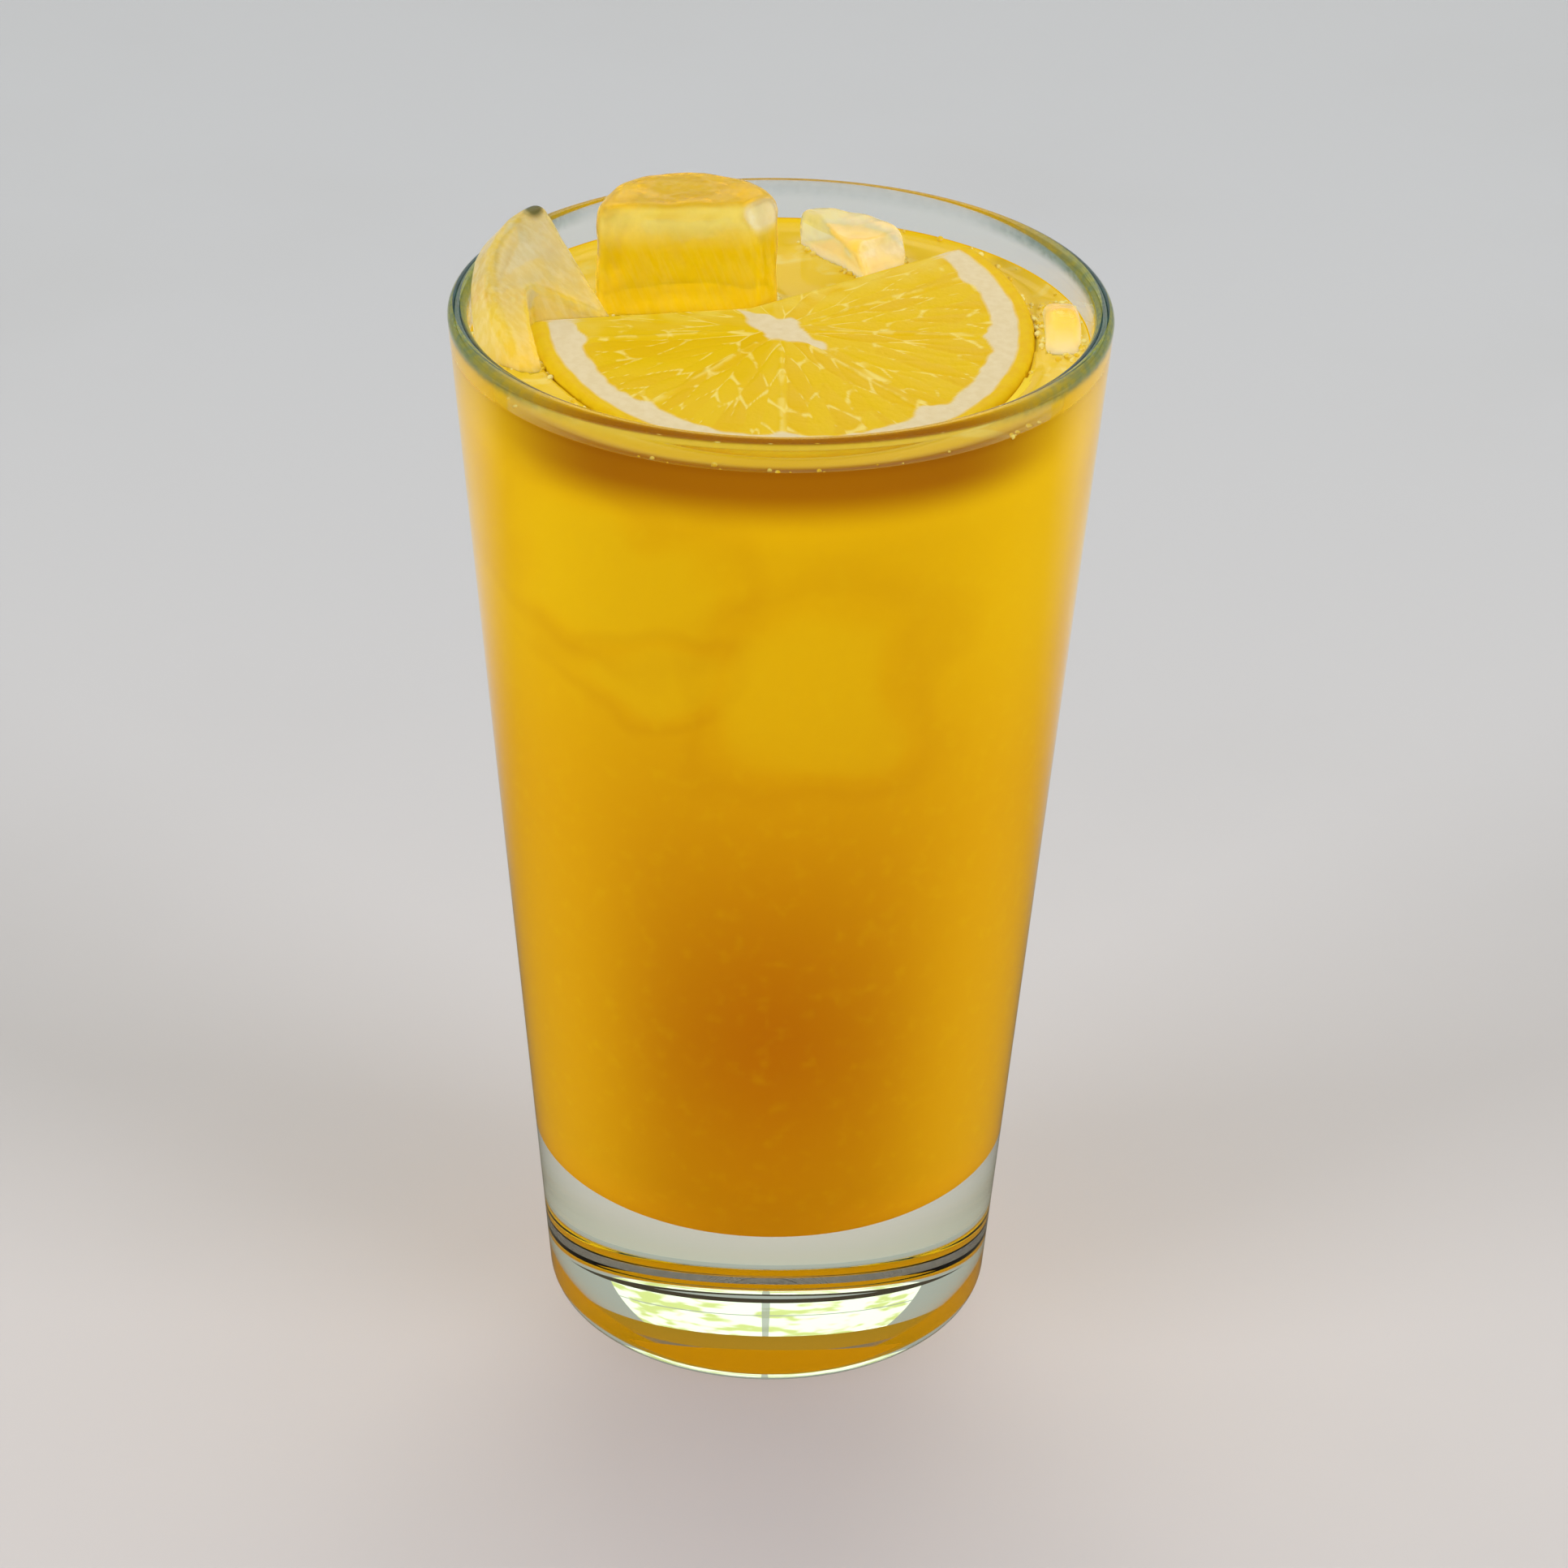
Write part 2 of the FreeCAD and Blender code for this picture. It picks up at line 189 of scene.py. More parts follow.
# The room as the glass sees it. Heights say how steeply a direction rises, from 0 level to 1 upright,
# and widths are shares of how far away the window is. Two bars cross in the window.
WINDOW_SILL, WINDOW_FOOT, WINDOW_HEAD, LINTEL_HEAD = 0.30, 0.36, 0.73, 0.86
WINDOW_HALF_WIDTH = 0.62
UPRIGHT_HALF, CROSSBAR, CROSSBAR_HALF = 0.012, 0.52, 0.006
WALL, DARK_SIDE = (0.50, 0.51, 0.52), (0.035, 0.035, 0.035)
CEILING, LINTEL = (0.20, 0.18, 0.16), (0.46, 0.24, 0.02)
SILL = (0.06, 0.05, 0.04)
DAYLIGHT, GARDEN = (1.5, 1.55, 1.35), (0.95, 1.02, 0.42)
GARDEN_FINE = 9.0                  # how finely the daylight and the garden mix
BACKDROP = (0.57, 0.585, 0.62)

world = bpy.data.worlds.new("World")
scene.world = world
room = Shader(world)
direction = room.node("ShaderNodeTexCoord", output="Generated")
across, ahead, up = room.parts(direction)
behind = ahead > 0.02
aside = (across / ahead.most(0.02)).size()
facing = aside < WINDOW_HALF_WIDTH
window = (up > WINDOW_FOOT) * (up < WINDOW_HEAD) * behind * facing
bar = (aside < UPRIGHT_HALF).most((up - CROSSBAR).size() < CROSSBAR_HALF)
sill = (up > WINDOW_SILL) * (up < WINDOW_HEAD) * behind * (1 - window)
inside = room.blend(up > WINDOW_HEAD, WALL, LINTEL)
inside = room.blend(up > LINTEL_HEAD, inside, CEILING)
crossed = room.rays("Is Transmission Ray")
inside = room.blend(ahead.rise(0.55, 0.15) * (1 - crossed * 0.85), inside, DARK_SIDE)
inside = room.blend(sill * facing.most(up < WINDOW_FOOT), inside, SILL)
outside = room.blend(room.noise(direction, GARDEN_FINE, 2.0).rise(0.48, 0.60), DAYLIGHT, GARDEN)
inside = room.blend(window * (1 - bar * 0.8), inside, outside)
seen = room.blend(room.rays("Is Camera Ray"), inside, BACKDROP)
sky = room.node("ShaderNodeBackground", sockets={"Color": seen, "Strength": 1.0})
room.node("ShaderNodeOutputWorld", sockets={"Surface": sky})

# The table: a wide pale board, a little warmer near the viewer.
TABLE_RADIUS, TABLE_SIDES = 3.0, 64
TABLE_NEAR, TABLE_FAR = (0.635, 0.605, 0.615), (0.605, 0.62, 0.66)
TABLE_CLOUDED, TABLE_REFLECTED_SHADE = (0.52, 0.52, 0.53), (0.12, 0.11, 0.09)
turns = [2 * pi * i / TABLE_SIDES for i in range(TABLE_SIDES)]
mesh = bpy.data.meshes.new("table")
corners = [(TABLE_RADIUS * cos(turn), TABLE_RADIUS * sin(turn), 0) for turn in turns]
mesh.from_pydata(corners, [], [range(TABLE_SIDES)])
table = bpy.data.objects.new("table", mesh)
scene.collection.objects.link(table)
paint, shader = material("pale_board")
place = shader.place()
_, depth, _ = shader.parts(place)
colour = shader.blend(depth.rise(-0.25, 0.45), TABLE_NEAR, TABLE_FAR)
colour = shader.blend(shader.noise(place, 7.0, 4.0).rise(0.45, 0.75) * 0.25, colour, TABLE_CLOUDED)
# Painted shade: in reflections, the table's near part shows darker, as if the viewer's side were in shade.
mirrored = shader.rays("Is Glossy Ray") * (1 - shader.rays("Is Transmission Ray"))
colour = shader.blend(mirrored * depth.rise(0.20, 0.07), colour, TABLE_REFLECTED_SHADE)
shader.finish(shader.principled({"Base Color": colour, "Roughness": 0.55, "IOR": 1.35}))
mesh.materials.append(paint)

# Soft lamps: place, size and power. Each is aimed at the middle of the glass.
LAMP_AIM = Vector((0, 0, 0.08))
LAMPS = {
    "lamp_left": ((-1.4, -0.75, 0.6), 0.9, 20.0),
    "lamp_right": ((1.4, -0.75, 0.6), 0.9, 20.0),
    "lamp_above": ((0.1, 0.0, 1.7), 1.4, 9.5),
    "lamp_behind": ((0.1, 1.3, 1.2), 1.0, 5.0),
}
for name, (where, width, power) in LAMPS.items():
    lamp_data = bpy.data.lights.new(name, "AREA")
    lamp_data.shape = "SQUARE"
    lamp_data.size = width
    lamp_data.energy = power
    lamp = bpy.data.objects.new(name, lamp_data)
    lamp.location = where
    lamp.rotation_euler = (LAMP_AIM - Vector(where)).to_track_quat("-Z", "Y").to_euler()
    lamp.visible_glossy = False
    lamp.visible_transmission = False
    scene.collection.objects.link(lamp)

# ------------------------------------------------------------------------------------------------
# The glass: one piece of pressed soda glass, a straight conical wall with a round fire-polished lip
# on a heavy clear foot with a round heel and a shallow hollow under it. Its long edges look green.
# ------------------------------------------------------------------------------------------------

MM = 0.001
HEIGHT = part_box("glass")[1].z
LEVEL = HEIGHT - 5.7 * MM          # how high the drink stands
RIM_RADIUS, BASE_RADIUS = 44 * MM, 30.5 * MM
LIP = 1.3 * MM
FOOT_WALL, HEEL = 3.0 * MM, 4.5 * MM
FLOOR, FLOOR_DISH, FLOOR_CORNER = 21.4 * MM, 150 * MM, 12 * MM
PUNT_RADIUS, PUNT_DEPTH = 23 * MM, 2.0 * MM
AROUND = 288                       # steps round the axis


def arc(x, z, radius, start, end, steps):
    """Points along an arc, its angles in degrees."""
    angles = [radians(start + (end - start) * i / steps) for i in range(steps + 1)]
    return [(x + radius * cos(a), z + radius * sin(a)) for a in angles]


def bore_radius(z, outset=0.0):
    """The inner radius of the wall at a height."""
    foot, top = BASE_RADIUS - FOOT_WALL, RIM_RADIUS - 2 * LIP
    return foot + (top - foot) * z / HEIGHT + outset


def bowl(outset=0.0):
    """The inside of the glass from the middle of its floor to the foot of its wall."""
    dish, corner, floor = FLOOR_DISH + outset, FLOOR_CORNER + outset, FLOOR - outset
    slope = (bore_radius(HEIGHT) - bore_radius(0)) / HEIGHT
    x, z = 0.0, floor + corner
    for _ in range(20):
        x = bore_radius(z, outset) - corner / cos(atan(slope))
        z = floor + dish - sqrt((dish - corner) ** 2 - x ** 2)
    turn, lean = degrees(atan2(z - floor - dish, x)), degrees(atan(slope))
    return arc(0, floor + dish, dish, -90, turn, 12) + arc(x, z, corner, turn, -lean, 14)[1:]


def put_in_scene(name, mesh):
    """An object for a mesh, at the origin."""
    piece = bpy.data.objects.new(name, mesh)
    scene.collection.objects.link(piece)
    return piece


def bands(rings, around):
    """The faces between each ring of points and the next; a ring of one point is a pole."""
    faces = []
    for low, high in zip(rings, rings[1:]):
        for i in range(around):
            j = (i + 1) % around
            corners = [low[i % len(low)], low[j % len(low)], high[j % len(high)], high[i % len(high)]]
            corners = list(dict.fromkeys(corners))
            if len(corners) > 2:
                faces.append(corners)
    return faces


def new_piece(name, vertices, faces, marks=None):
    """
    A closed mesh object with its faces turned outwards and shaded smooth. Marks are numbers that its
    points carry for their material.
    """
    mesh = bpy.data.meshes.new(name)
    mesh.from_pydata(vertices, [], faces)
    for mark, values in (marks or {}).items():
        mesh.attributes.new(mark, "FLOAT", "POINT").data.foreach_set("value", values)
    piece = put_in_scene(name, mesh)
    form = bmesh.new()
    form.from_mesh(mesh)
    bmesh.ops.remove_doubles(form, verts=form.verts, dist=1e-7)
    bmesh.ops.recalc_face_normals(form, faces=form.faces)
    form.to_mesh(mesh)
    form.free()
    mesh.shade_smooth()
    return piece


def turned(name, outline, around=AROUND):
    """An outline of radius and height, turned round the axis. Points on the axis become poles."""
    vertices, rings = [], []
    turns = [2 * pi * i / around for i in range(around)]
    for radius, z in outline:
        count = 1 if radius < 1e-9 else around
        rings.append(range(len(vertices), len(vertices) + count))
        vertices += [(radius * cos(t), radius * sin(t), z) for t in turns[:count]]
    return new_piece(name, vertices, bands(rings, around))


outer_slope = (RIM_RADIUS - BASE_RADIUS) / HEIGHT
lean = degrees(atan(outer_slope))
punt = (PUNT_RADIUS ** 2 + PUNT_DEPTH ** 2) / (2 * PUNT_DEPTH)
punt_turn = degrees(atan2(punt - PUNT_DEPTH, PUNT_RADIUS))
heel_x = BASE_RADIUS + outer_slope * HEEL - HEEL / cos(radians(lean))
lip_x = RIM_RADIUS - outer_slope * LIP - LIP
outline = arc(0, PUNT_DEPTH - punt, punt, 90, punt_turn, 12)
outline += arc(heel_x, HEEL, HEEL, -90, -lean, 12)
outline += arc(lip_x, HEIGHT - LIP, LIP, -lean, 180 - lean, 16)
outline += bowl()[::-1]
outline[0], outline[-1] = (0, PUNT_DEPTH), (0, FLOOR)
glass = turned("glass_wall", outline)

CLEAR, FOOT_GREEN, WETTED = (0.955, 0.985, 0.955), (0.80, 0.89, 0.74), (0.78, 0.68, 0.25)
LIP_GREEN, LIP_DEEP = (0.12, 0.30, 0.27), (0.015, 0.12, 0.10)
GLASS_SHADOW = (0.96, 0.97, 0.96)
LIP_FADE, LIP_SIDES = (HEIGHT - 2.6 * MM, HEIGHT - 1.2 * MM), (24 * MM, 42 * MM)
FOOT_FADE = (27 * MM, 20 * MM)
FILM_FOOT, FILM_HEAD = (LEVEL, LEVEL + 1.2 * MM), (HEIGHT - 1.0 * MM, HEIGHT - 3.0 * MM)
FRONT = (-16 * MM, -36 * MM)

# The lip and the foot look green; a film of drink is left on the front, over the level.
paint, shader = material("soda_glass")
across, ahead, high = shader.parts(shader.place())
lip = high.rise(*LIP_FADE) * (across.size().rise(*LIP_SIDES) * 0.9 + 0.1)
green = shader.blend(lip, CLEAR, LIP_GREEN)
green = shader.blend(high.rise(*FOOT_FADE), green, FOOT_GREEN)
film = high.rise(*FILM_FOOT) * high.rise(*FILM_HEAD) * ahead.rise(*FRONT)
green = shader.blend(film * 0.8, green, WETTED)
clear = shader.principled({"Base Color": green, "Roughness": 0.0, "IOR": 1.5, "Transmission Weight": 1.0,
                           "Specular Tint": (0.45, 0.45, 0.42, 1)})
deep = shader.principled({"Base Color": (*LIP_DEEP, 1), "Roughness": 0.08})
specks = shader.noise(shader.place(), 900.0, 2.0).rise(0.40, 0.62) * 0.5 + 0.5
clear = shader.node("ShaderNodeMixShader", sockets={0: lip * specks * 0.55, 1: clear, 2: deep})
shader.finish(shader.open_to_light(clear, GLASS_SHADOW))
glass.data.materials.append(paint)
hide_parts("glass")
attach(glass, "root")

# ------------------------------------------------------------------------------------------------
# The orange slice: a little over half of a wheel cut across an orange, with a kinked cut behind its
# core. Thin rind, a ring of pale pith, segments of juice sacs parted by thin skins, a pithy core.
# ------------------------------------------------------------------------------------------------

SLICE_SIDE = bore_radius(LEVEL) - 7.4 * MM       # the wheel's two half widths
SLICE_DEEP = bore_radius(LEVEL) - 4.6 * MM
SLICE_THICK, RIND_ROUND = 7 * MM, 1.2 * MM
SLICE_PLACE = (Matrix.Translation((0.35 * MM, 3.1 * MM, LEVEL + 1.7 * MM))
               @ Euler((radians(5.1), radians(1.7), 0)).to_matrix().to_4x4())
SLICE_UNPLACE = SLICE_PLACE.inverted()
CUT_CORNER = (-4.35 * MM, 3.1 * MM)              # the kink of the cut, and its two directions
CUT_LEFT, CUT_RIGHT = radians(11.9), radians(34.6)
CORE = (-0.35 * MM, -2.1 * MM)                   # where the segments meet
CORE_HALF, CORE_TURN = (7.6 * MM, 3.0 * MM), radians(-40)
RIND, PITH_RING = 2.3 * MM, 3.4 * MM
PITH_WEDGE = 1.3 * MM                            # how far the pith runs in where segments meet
SKIN_HALF, FILM_WIDTH = 0.28 * MM, 3.2 * MM      # the skins, and the wet film along the cut
SKINS = [radians(a) for a in (-169, -128, -89, -47, 1, 34)]   # bearings of the segments' skins
ROUND_STEPS, OUT_STEPS, SIDE_STEPS = 420, 104, 12
ROUND_TURNS = [2 * pi * i / ROUND_STEPS for i in range(ROUND_STEPS)]
# The juice sacs lie in rings round the core: the rings' spacing and reach, the sacs' width and skin in
# millimetres, and how many times longer than wide they are.
SAC_RING, SAC_REACH, SAC_WIDTH, SAC_SKIN, SAC_STRETCH = 6, 37, 3.0, 1.3, 4.5
SAC_RELIEF, SKIN_RELIEF, FACE_RELIEF = 0.10 * MM, 0.12 * MM, 0.12 * MM
SAC_BATCH = 4000                                 # points worked out together
GOLDEN_SHARE = 0.61803                           # spreads the sacs' own numbers evenly


def oval_reach(x, y):
    """How far out a point lies, as a share of the way to the rind's outside."""
    return hypot(x / SLICE_SIDE, y / SLICE_DEEP)


def slice_reach(angle):
    """From the core to the slice's edge in one direction, and whether that edge is rind."""
    dx, dy = cos(angle), sin(angle)
    a = (dx / SLICE_SIDE) ** 2 + (dy / SLICE_DEEP) ** 2
    b = CORE[0] * dx / SLICE_SIDE ** 2 + CORE[1] * dy / SLICE_DEEP ** 2
    c = oval_reach(*CORE) ** 2 - 1
    rim = (-b + sqrt(b * b - a * c)) / a
    cuts = []
    for turn in (CUT_LEFT, CUT_RIGHT):
        away = -sin(turn) * dx + cos(turn) * dy
        gap = -sin(turn) * (CUT_CORNER[0] - CORE[0]) + cos(turn) * (CUT_CORNER[1] - CORE[1])
        cuts.append(gap / away if away > 1e-9 else 1e9)
    return min(rim, max(cuts)), rim <= max(cuts)


def juice_sacs(points, seed=4):
    """
    For points of the cut face, in millimetres from the core: how deep each lies inside its juice sac,
    from 0 at its skin to 1 in its middle, and a number that is the sac's own.
    """
    rng = np.random.default_rng(seed)
    seeds = []
    for ring in range(SAC_RING, SAC_REACH, SAC_RING):
        count = max(7, int(2 * pi * ring / SAC_WIDTH))
        turn = rng.random() * 2 * pi
        for i in range(count):
            angle = turn + 2 * pi * (i + rng.uniform(-0.35, 0.35)) / count
            out = ring + rng.uniform(-SAC_RING / 2, SAC_RING / 2)
            seeds.append((out * cos(angle), out * sin(angle), angle))
    seeds = np.array(seeds)
    inside, own = np.zeros(len(points)), np.zeros(len(points))
    for start in range(0, len(points), SAC_BATCH):
        part = points[start:start + SAC_BATCH]
        dx = part[:, None, 0] - seeds[None, :, 0]
        dy = part[:, None, 1] - seeds[None, :, 1]
        out = dx * np.cos(seeds[None, :, 2]) + dy * np.sin(seeds[None, :, 2])
        side = -dx * np.sin(seeds[None, :, 2]) + dy * np.cos(seeds[None, :, 2])
        distance = np.sqrt((out / SAC_STRETCH) ** 2 + side ** 2)
        nearest = np.argpartition(distance, 1, axis=1)[:, :2]
        pair = np.take_along_axis(distance, nearest, axis=1)
        first = np.argmin(pair, axis=1)
        inside[start:start + SAC_BATCH] = np.abs(pair[:, 0] - pair[:, 1])
        own[start:start + SAC_BATCH] = np.take_along_axis(nearest, first[:, None], axis=1)[:, 0]
    return np.clip(inside / SAC_SKIN, 0, 1), (own * GOLDEN_SHARE) % 1


def clamp(value):
    return min(1, max(0, value))


def past_cuts(x, y):
    """How far a point lies behind the kinked cut; it is less than 0 on the slice."""
    dx, dy = x - CUT_CORNER[0], y - CUT_CORNER[1]
    return min(-sin(turn) * dx + cos(turn) * dy for turn in (CUT_LEFT, CUT_RIGHT))


def wobble(x, y, scale, seed):
    """A smooth random number from -1 to 1 that varies over the slice; scale is in millimetres."""
    return noise.noise(Vector((x / (scale * MM), y / (scale * MM), seed)))


reaches = [slice_reach(turn) for turn in ROUND_TURNS]
shares = [sqrt(j / OUT_STEPS) * 0.3 + 0.7 * j / OUT_STEPS for j in range(1, OUT_STEPS + 1)]


def cut_face(x, y):
    """Rind, pith, skin and wet film at a point of the cut face, each 0 to 1."""
    out = oval_reach(x, y)
    depth = (1 - out) * hypot(x, y) / max(out, 1e-6)
    depth += 0.25 * MM * wobble(x, y, 3.0, 1)
    dx, dy = x - CORE[0], y - CORE[1]
    angle, away = atan2(dy, dx), hypot(dx, dy)
    skin_gap = min(abs((angle - a + pi) % (2 * pi) - pi) for a in SKINS) * away
    skin_gap += 0.5 * MM * wobble(x, y, 4.0, 7)
    wedge = PITH_WEDGE * exp(-(skin_gap / (1.7 * MM)) ** 2)
    ring = RIND + PITH_RING + wedge + 0.6 * MM * wobble(x, y, 5.0, 3) + 0.35 * MM * wobble(x, y, 1.6, 4)
    rind = clamp((RIND + 0.15 * MM - depth) / (0.3 * MM))
    pith = clamp((ring + 0.15 * MM - depth) / (0.4 * MM))
    along = dx * cos(CORE_TURN) + dy * sin(CORE_TURN)
    aside = -dx * sin(CORE_TURN) + dy * cos(CORE_TURN)
    core = abs(along) / CORE_HALF[0] + abs(aside) / CORE_HALF[1] + 0.35 * wobble(x, y, 2.2, 9)
    pith = max(pith, clamp((1.08 - core) / 0.16))
    skin = exp(-(skin_gap / SKIN_HALF) ** 2) * (away > 5 * MM)
    film = exp(-(past_cuts(x, y) / FILM_WIDTH) ** 2) * clamp(0.6 + 1.2 * wobble(x, y, 2.6, 12))
    return rind, pith, skin, film


face_points = np.array([(reach * share * cos(turn) / MM, reach * share * sin(turn) / MM)
                        for turn, (reach, _) in zip(ROUND_TURNS, reaches) for share in shares])
inside, own = juice_sacs(face_points)


def slice_side(rim, share):
    """Inset and depth of the edge, from the top face (0) to the bottom face (1). The rind is rounded."""
    if not rim:
        return 0.0, SLICE_THICK * share
    rounded = 0.25                               # the share of the way that each rounding takes
    turn = min(share, 1 - share, rounded) / rounded * pi / 2
    inset, depth = RIND_ROUND * (1 - sin(turn)), RIND_ROUND * (1 - cos(turn))
    if share < rounded:
        return inset, depth
    if share > 1 - rounded:
        return inset, SLICE_THICK - depth
    return 0.0, RIND_ROUND + (SLICE_THICK - 2 * RIND_ROUND) * (share - rounded) / (1 - 2 * rounded)


vertices = []
marks = {"rind": [], "pith": [], "skin": [], "sac": [], "own": [], "film": [], "below": []}


def add_point(x, y, z, looks):
    """Add a point in the slice's own frame; its looks are in the order of the marks."""
    vertices.append(SLICE_PLACE @ Vector((x, y, z)))
    for name, value in zip(marks, looks):
        marks[name].append(value)
    return len(vertices) - 1


def face_rings(lower):
    """The rings of the top face, or of the bottom face, from the core outwards."""
    pole = [add_point(*CORE, -SLICE_THICK if lower else 0, (0, 1, 0, 1, 0, 0, 0))]
    grid = [[None] * ROUND_STEPS for _ in shares]
    for i, (angle, (reach, rim)) in enumerate(zip(ROUND_TURNS, reaches)):
        inset = RIND_ROUND if rim else 0
        for j, share in enumerate(shares):
            out = (reach - inset) * share
            x, y = CORE[0] + out * cos(angle), CORE[1] + out * sin(angle)
            rind, pith, skin, film = cut_face(x, y)
            sac, mine = inside[i * OUT_STEPS + j], own[i * OUT_STEPS + j]
            flesh = 1 - max(pith, rind)
            dome = sqrt(max(0.0, 1 - (1 - sac) ** 2))
            height = flesh * (SAC_RELIEF * (dome - 0.8) * (0.5 + 0.5 * mine) + SKIN_RELIEF * skin)
            height += FACE_RELIEF * (wobble(x, y, 5.0, 5) - 1)
            height *= min(1, (1 - share) * 20 + (0 if rim else 0.3))
            z = -SLICE_THICK - height if lower else height
            grid[j][i] = add_point(x, y, z, (rind, pith, skin, sac, mine, film, 0))
    return [pole] + grid


top, bottom = face_rings(False), face_rings(True)
sides = []
for step in range(1, SIDE_STEPS):
    ring = []
    for angle, (reach, rim) in zip(ROUND_TURNS, reaches):
        inset, depth = slice_side(rim, step / SIDE_STEPS)
        x, y = CORE[0] + (reach - inset) * cos(angle), CORE[1] + (reach - inset) * sin(angle)
        rind, pith, skin, film = cut_face(x, y)
        below = clamp((depth - 0.5 * MM) / (0.8 * MM))
        ring.append(add_point(x, y, -depth, (rind, pith, skin, 0.6, 0.5, film, below)))
    sides.append(ring)
orange = new_piece("orange_slice_flesh", vertices, bands(top + sides + bottom[::-1], ROUND_STEPS), marks)

JUICE, JUICE_DEEP, PALE_SKIN_AND_GLINT = (0.80, 0.52, 0.003), (0.76, 0.44, 0.002), (0.92, 0.74, 0.20)
PITH_COLOUR, PITH_PALE = (0.76, 0.62, 0.36), (0.84, 0.72, 0.48)
RIND_COLOUR, RIND_DEEP = (0.84, 0.54, 0.006), (0.80, 0.46, 0.006)
WET_FILM, RIND_SIDE_SHADE = (0.86, 0.66, 0.10), (0.50, 0.31, 0.004)
paint, shader = material("orange_flesh")
place = shader.place()
sac, mine = shader.attribute("sac"), shader.attribute("own")
rind, pith, skin = shader.attribute("rind"), shader.attribute("pith"), shader.attribute("skin")
colour = shader.blend(mine.rise(0.2, 1.0) * 0.5, JUICE, JUICE_DEEP)
# Pale broken lines: along the sacs' skins they are partly the skins' own colour and partly painted
# highlights; along the segments' skins they are the skins' own colour.
broken = shader.noise(place, 300.0, 3.0).rise(0.44, 0.56)
colour = shader.blend((1 - sac.rise(0.02, 0.17)) * broken * 0.75, colour, PALE_SKIN_AND_GLINT)
colour = shader.blend(skin * (broken * 0.5 + 0.05), colour, PALE_SKIN_AND_GLINT)
colour = shader.blend(shader.attribute("film") * 0.6, colour, WET_FILM)
pale = shader.blend(shader.noise(place, 900.0, 4.0).rise(0.3, 0.7) * 0.5, PITH_COLOUR, PITH_PALE)
colour = shader.blend(pith, colour, pale)
peel = shader.blend(shader.noise(place, 700.0, 2.0).rise(0.35, 0.7) * 0.6, RIND_COLOUR, RIND_DEEP)
colour = shader.blend(rind, colour, peel)
# Painted shade: the rind's side, below the top face, is darker.
colour = shader.blend(shader.attribute("below") * 0.8, colour, RIND_SIDE_SHADE)
grain = shader.noise(place, 1600.0, 3.0) * 0.5 + shader.noise(place, 420.0, 2.0)
roughness = pith.most(rind) * 0.28 + 0.14
juicy = shader.principled({
    "Base Color": colour, "Roughness": roughness, "IOR": 1.36, "Normal": shader.bump(grain, 0.00008),
    "Specular IOR Level": 0.08})
shader.finish(juicy)
orange.data.materials.append(paint)
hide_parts("orange_slice")
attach(orange, "root")

# ------------------------------------------------------------------------------------------------
# The ice: half moons from a machine with round moulds, wet and partly melted, standing out of the
# drink. Clear water ice, clouded by fine air; painted light from the drink makes it gold low down and
# pale at the top, and painted golden shade runs along its edges.
# ------------------------------------------------------------------------------------------------

# Each lump's mesh grain and its waves, in millimetres; the place and direction of the plane that chips
# a corner off; how much of it is cloud, and the cloud's colour, with painted light, low and high on its
# front and on its crown; how strong its painted golden edge shade and its pale streaks are; where its
# front starts to turn pale, in millimetres over the drink; the tint of painted drink light in its clear
# part, and how far that tint fades upwards.
LUMPS = {
    "ice_left": dict(
        grain=0.45, waves=0.30, chip=((-21 * MM, 6.0 * MM, 157.0 * MM), (0.75, -0.30, 0.55)),
        cloud=0.80, low=(0.78, 0.62, 0.18), high=(0.72, 0.66, 0.46), crown=(0.74, 0.58, 0.20),
        edges=0.6, streaks=0.28, pale_from=4, clear=(1.0, 0.95, 0.70), paler=1.0),
    "ice_middle": dict(
        grain=0.45, waves=0.45, chip=((-4.0 * MM, 6.6 * MM, 155.9 * MM), (0.66, -0.62, 0.42)),
        cloud=0.74, low=(0.83, 0.61, 0.001), high=(0.86, 0.77, 0.22), crown=(0.66, 0.43, 0.004),
        edges=0.35, streaks=0.05, pale_from=9, clear=(1.0, 0.88, 0.12), paler=0.35),
    "ice_back": dict(
        grain=0.40, waves=1.00, chip=((12 * MM, 22.0 * MM, 149.0 * MM), (0.50, -0.45, 0.74)),
        cloud=0.45, low=(0.82, 0.78, 0.26), high=(0.85, 0.95, 0.82), crown=(0.85, 0.94, 0.76),
        edges=0.3, streaks=0.20, pale_from=4, clear=(0.94, 1.0, 0.78), paler=1.0),
    "ice_right": dict(
        grain=0.35, waves=0.40, chip=None,
        cloud=0.16, low=(0.82, 0.78, 0.26), high=(0.84, 0.86, 0.54), crown=(0.84, 0.84, 0.48),
        edges=0.2, streaks=0.15, pale_from=4, clear=(0.94, 1.0, 0.72), paler=1.0),
}
SOFTENING, SPREADING = 3, 6        # rounds of smoothing, of the shape and of how sharply it turns
WAVE_LONG, WAVE_SHORT = 5.5 * MM, 2.2 * MM
CHIP_DEPTH = 0.7 * MM
SLICE_GAP = 0.35 * MM

# Nothing of the lump on the left stands over the slice: it melted back to the slice's cut.
ring = [(CORE[0] + (reach + SLICE_GAP) * cos(turn), CORE[1] + (reach + SLICE_GAP) * sin(turn))
        for turn, (reach, _) in zip(ROUND_TURNS, reaches)]
vertices = [SLICE_PLACE @ Vector((x, y, z))
            for z in (-SLICE_THICK - SLICE_GAP, SLICE_THICK) for x, y in ring]
under, over = range(ROUND_STEPS), range(ROUND_STEPS, 2 * ROUND_STEPS)
slice_space = new_piece("slice_space", vertices, [*bands([under, over], ROUND_STEPS), under, over])


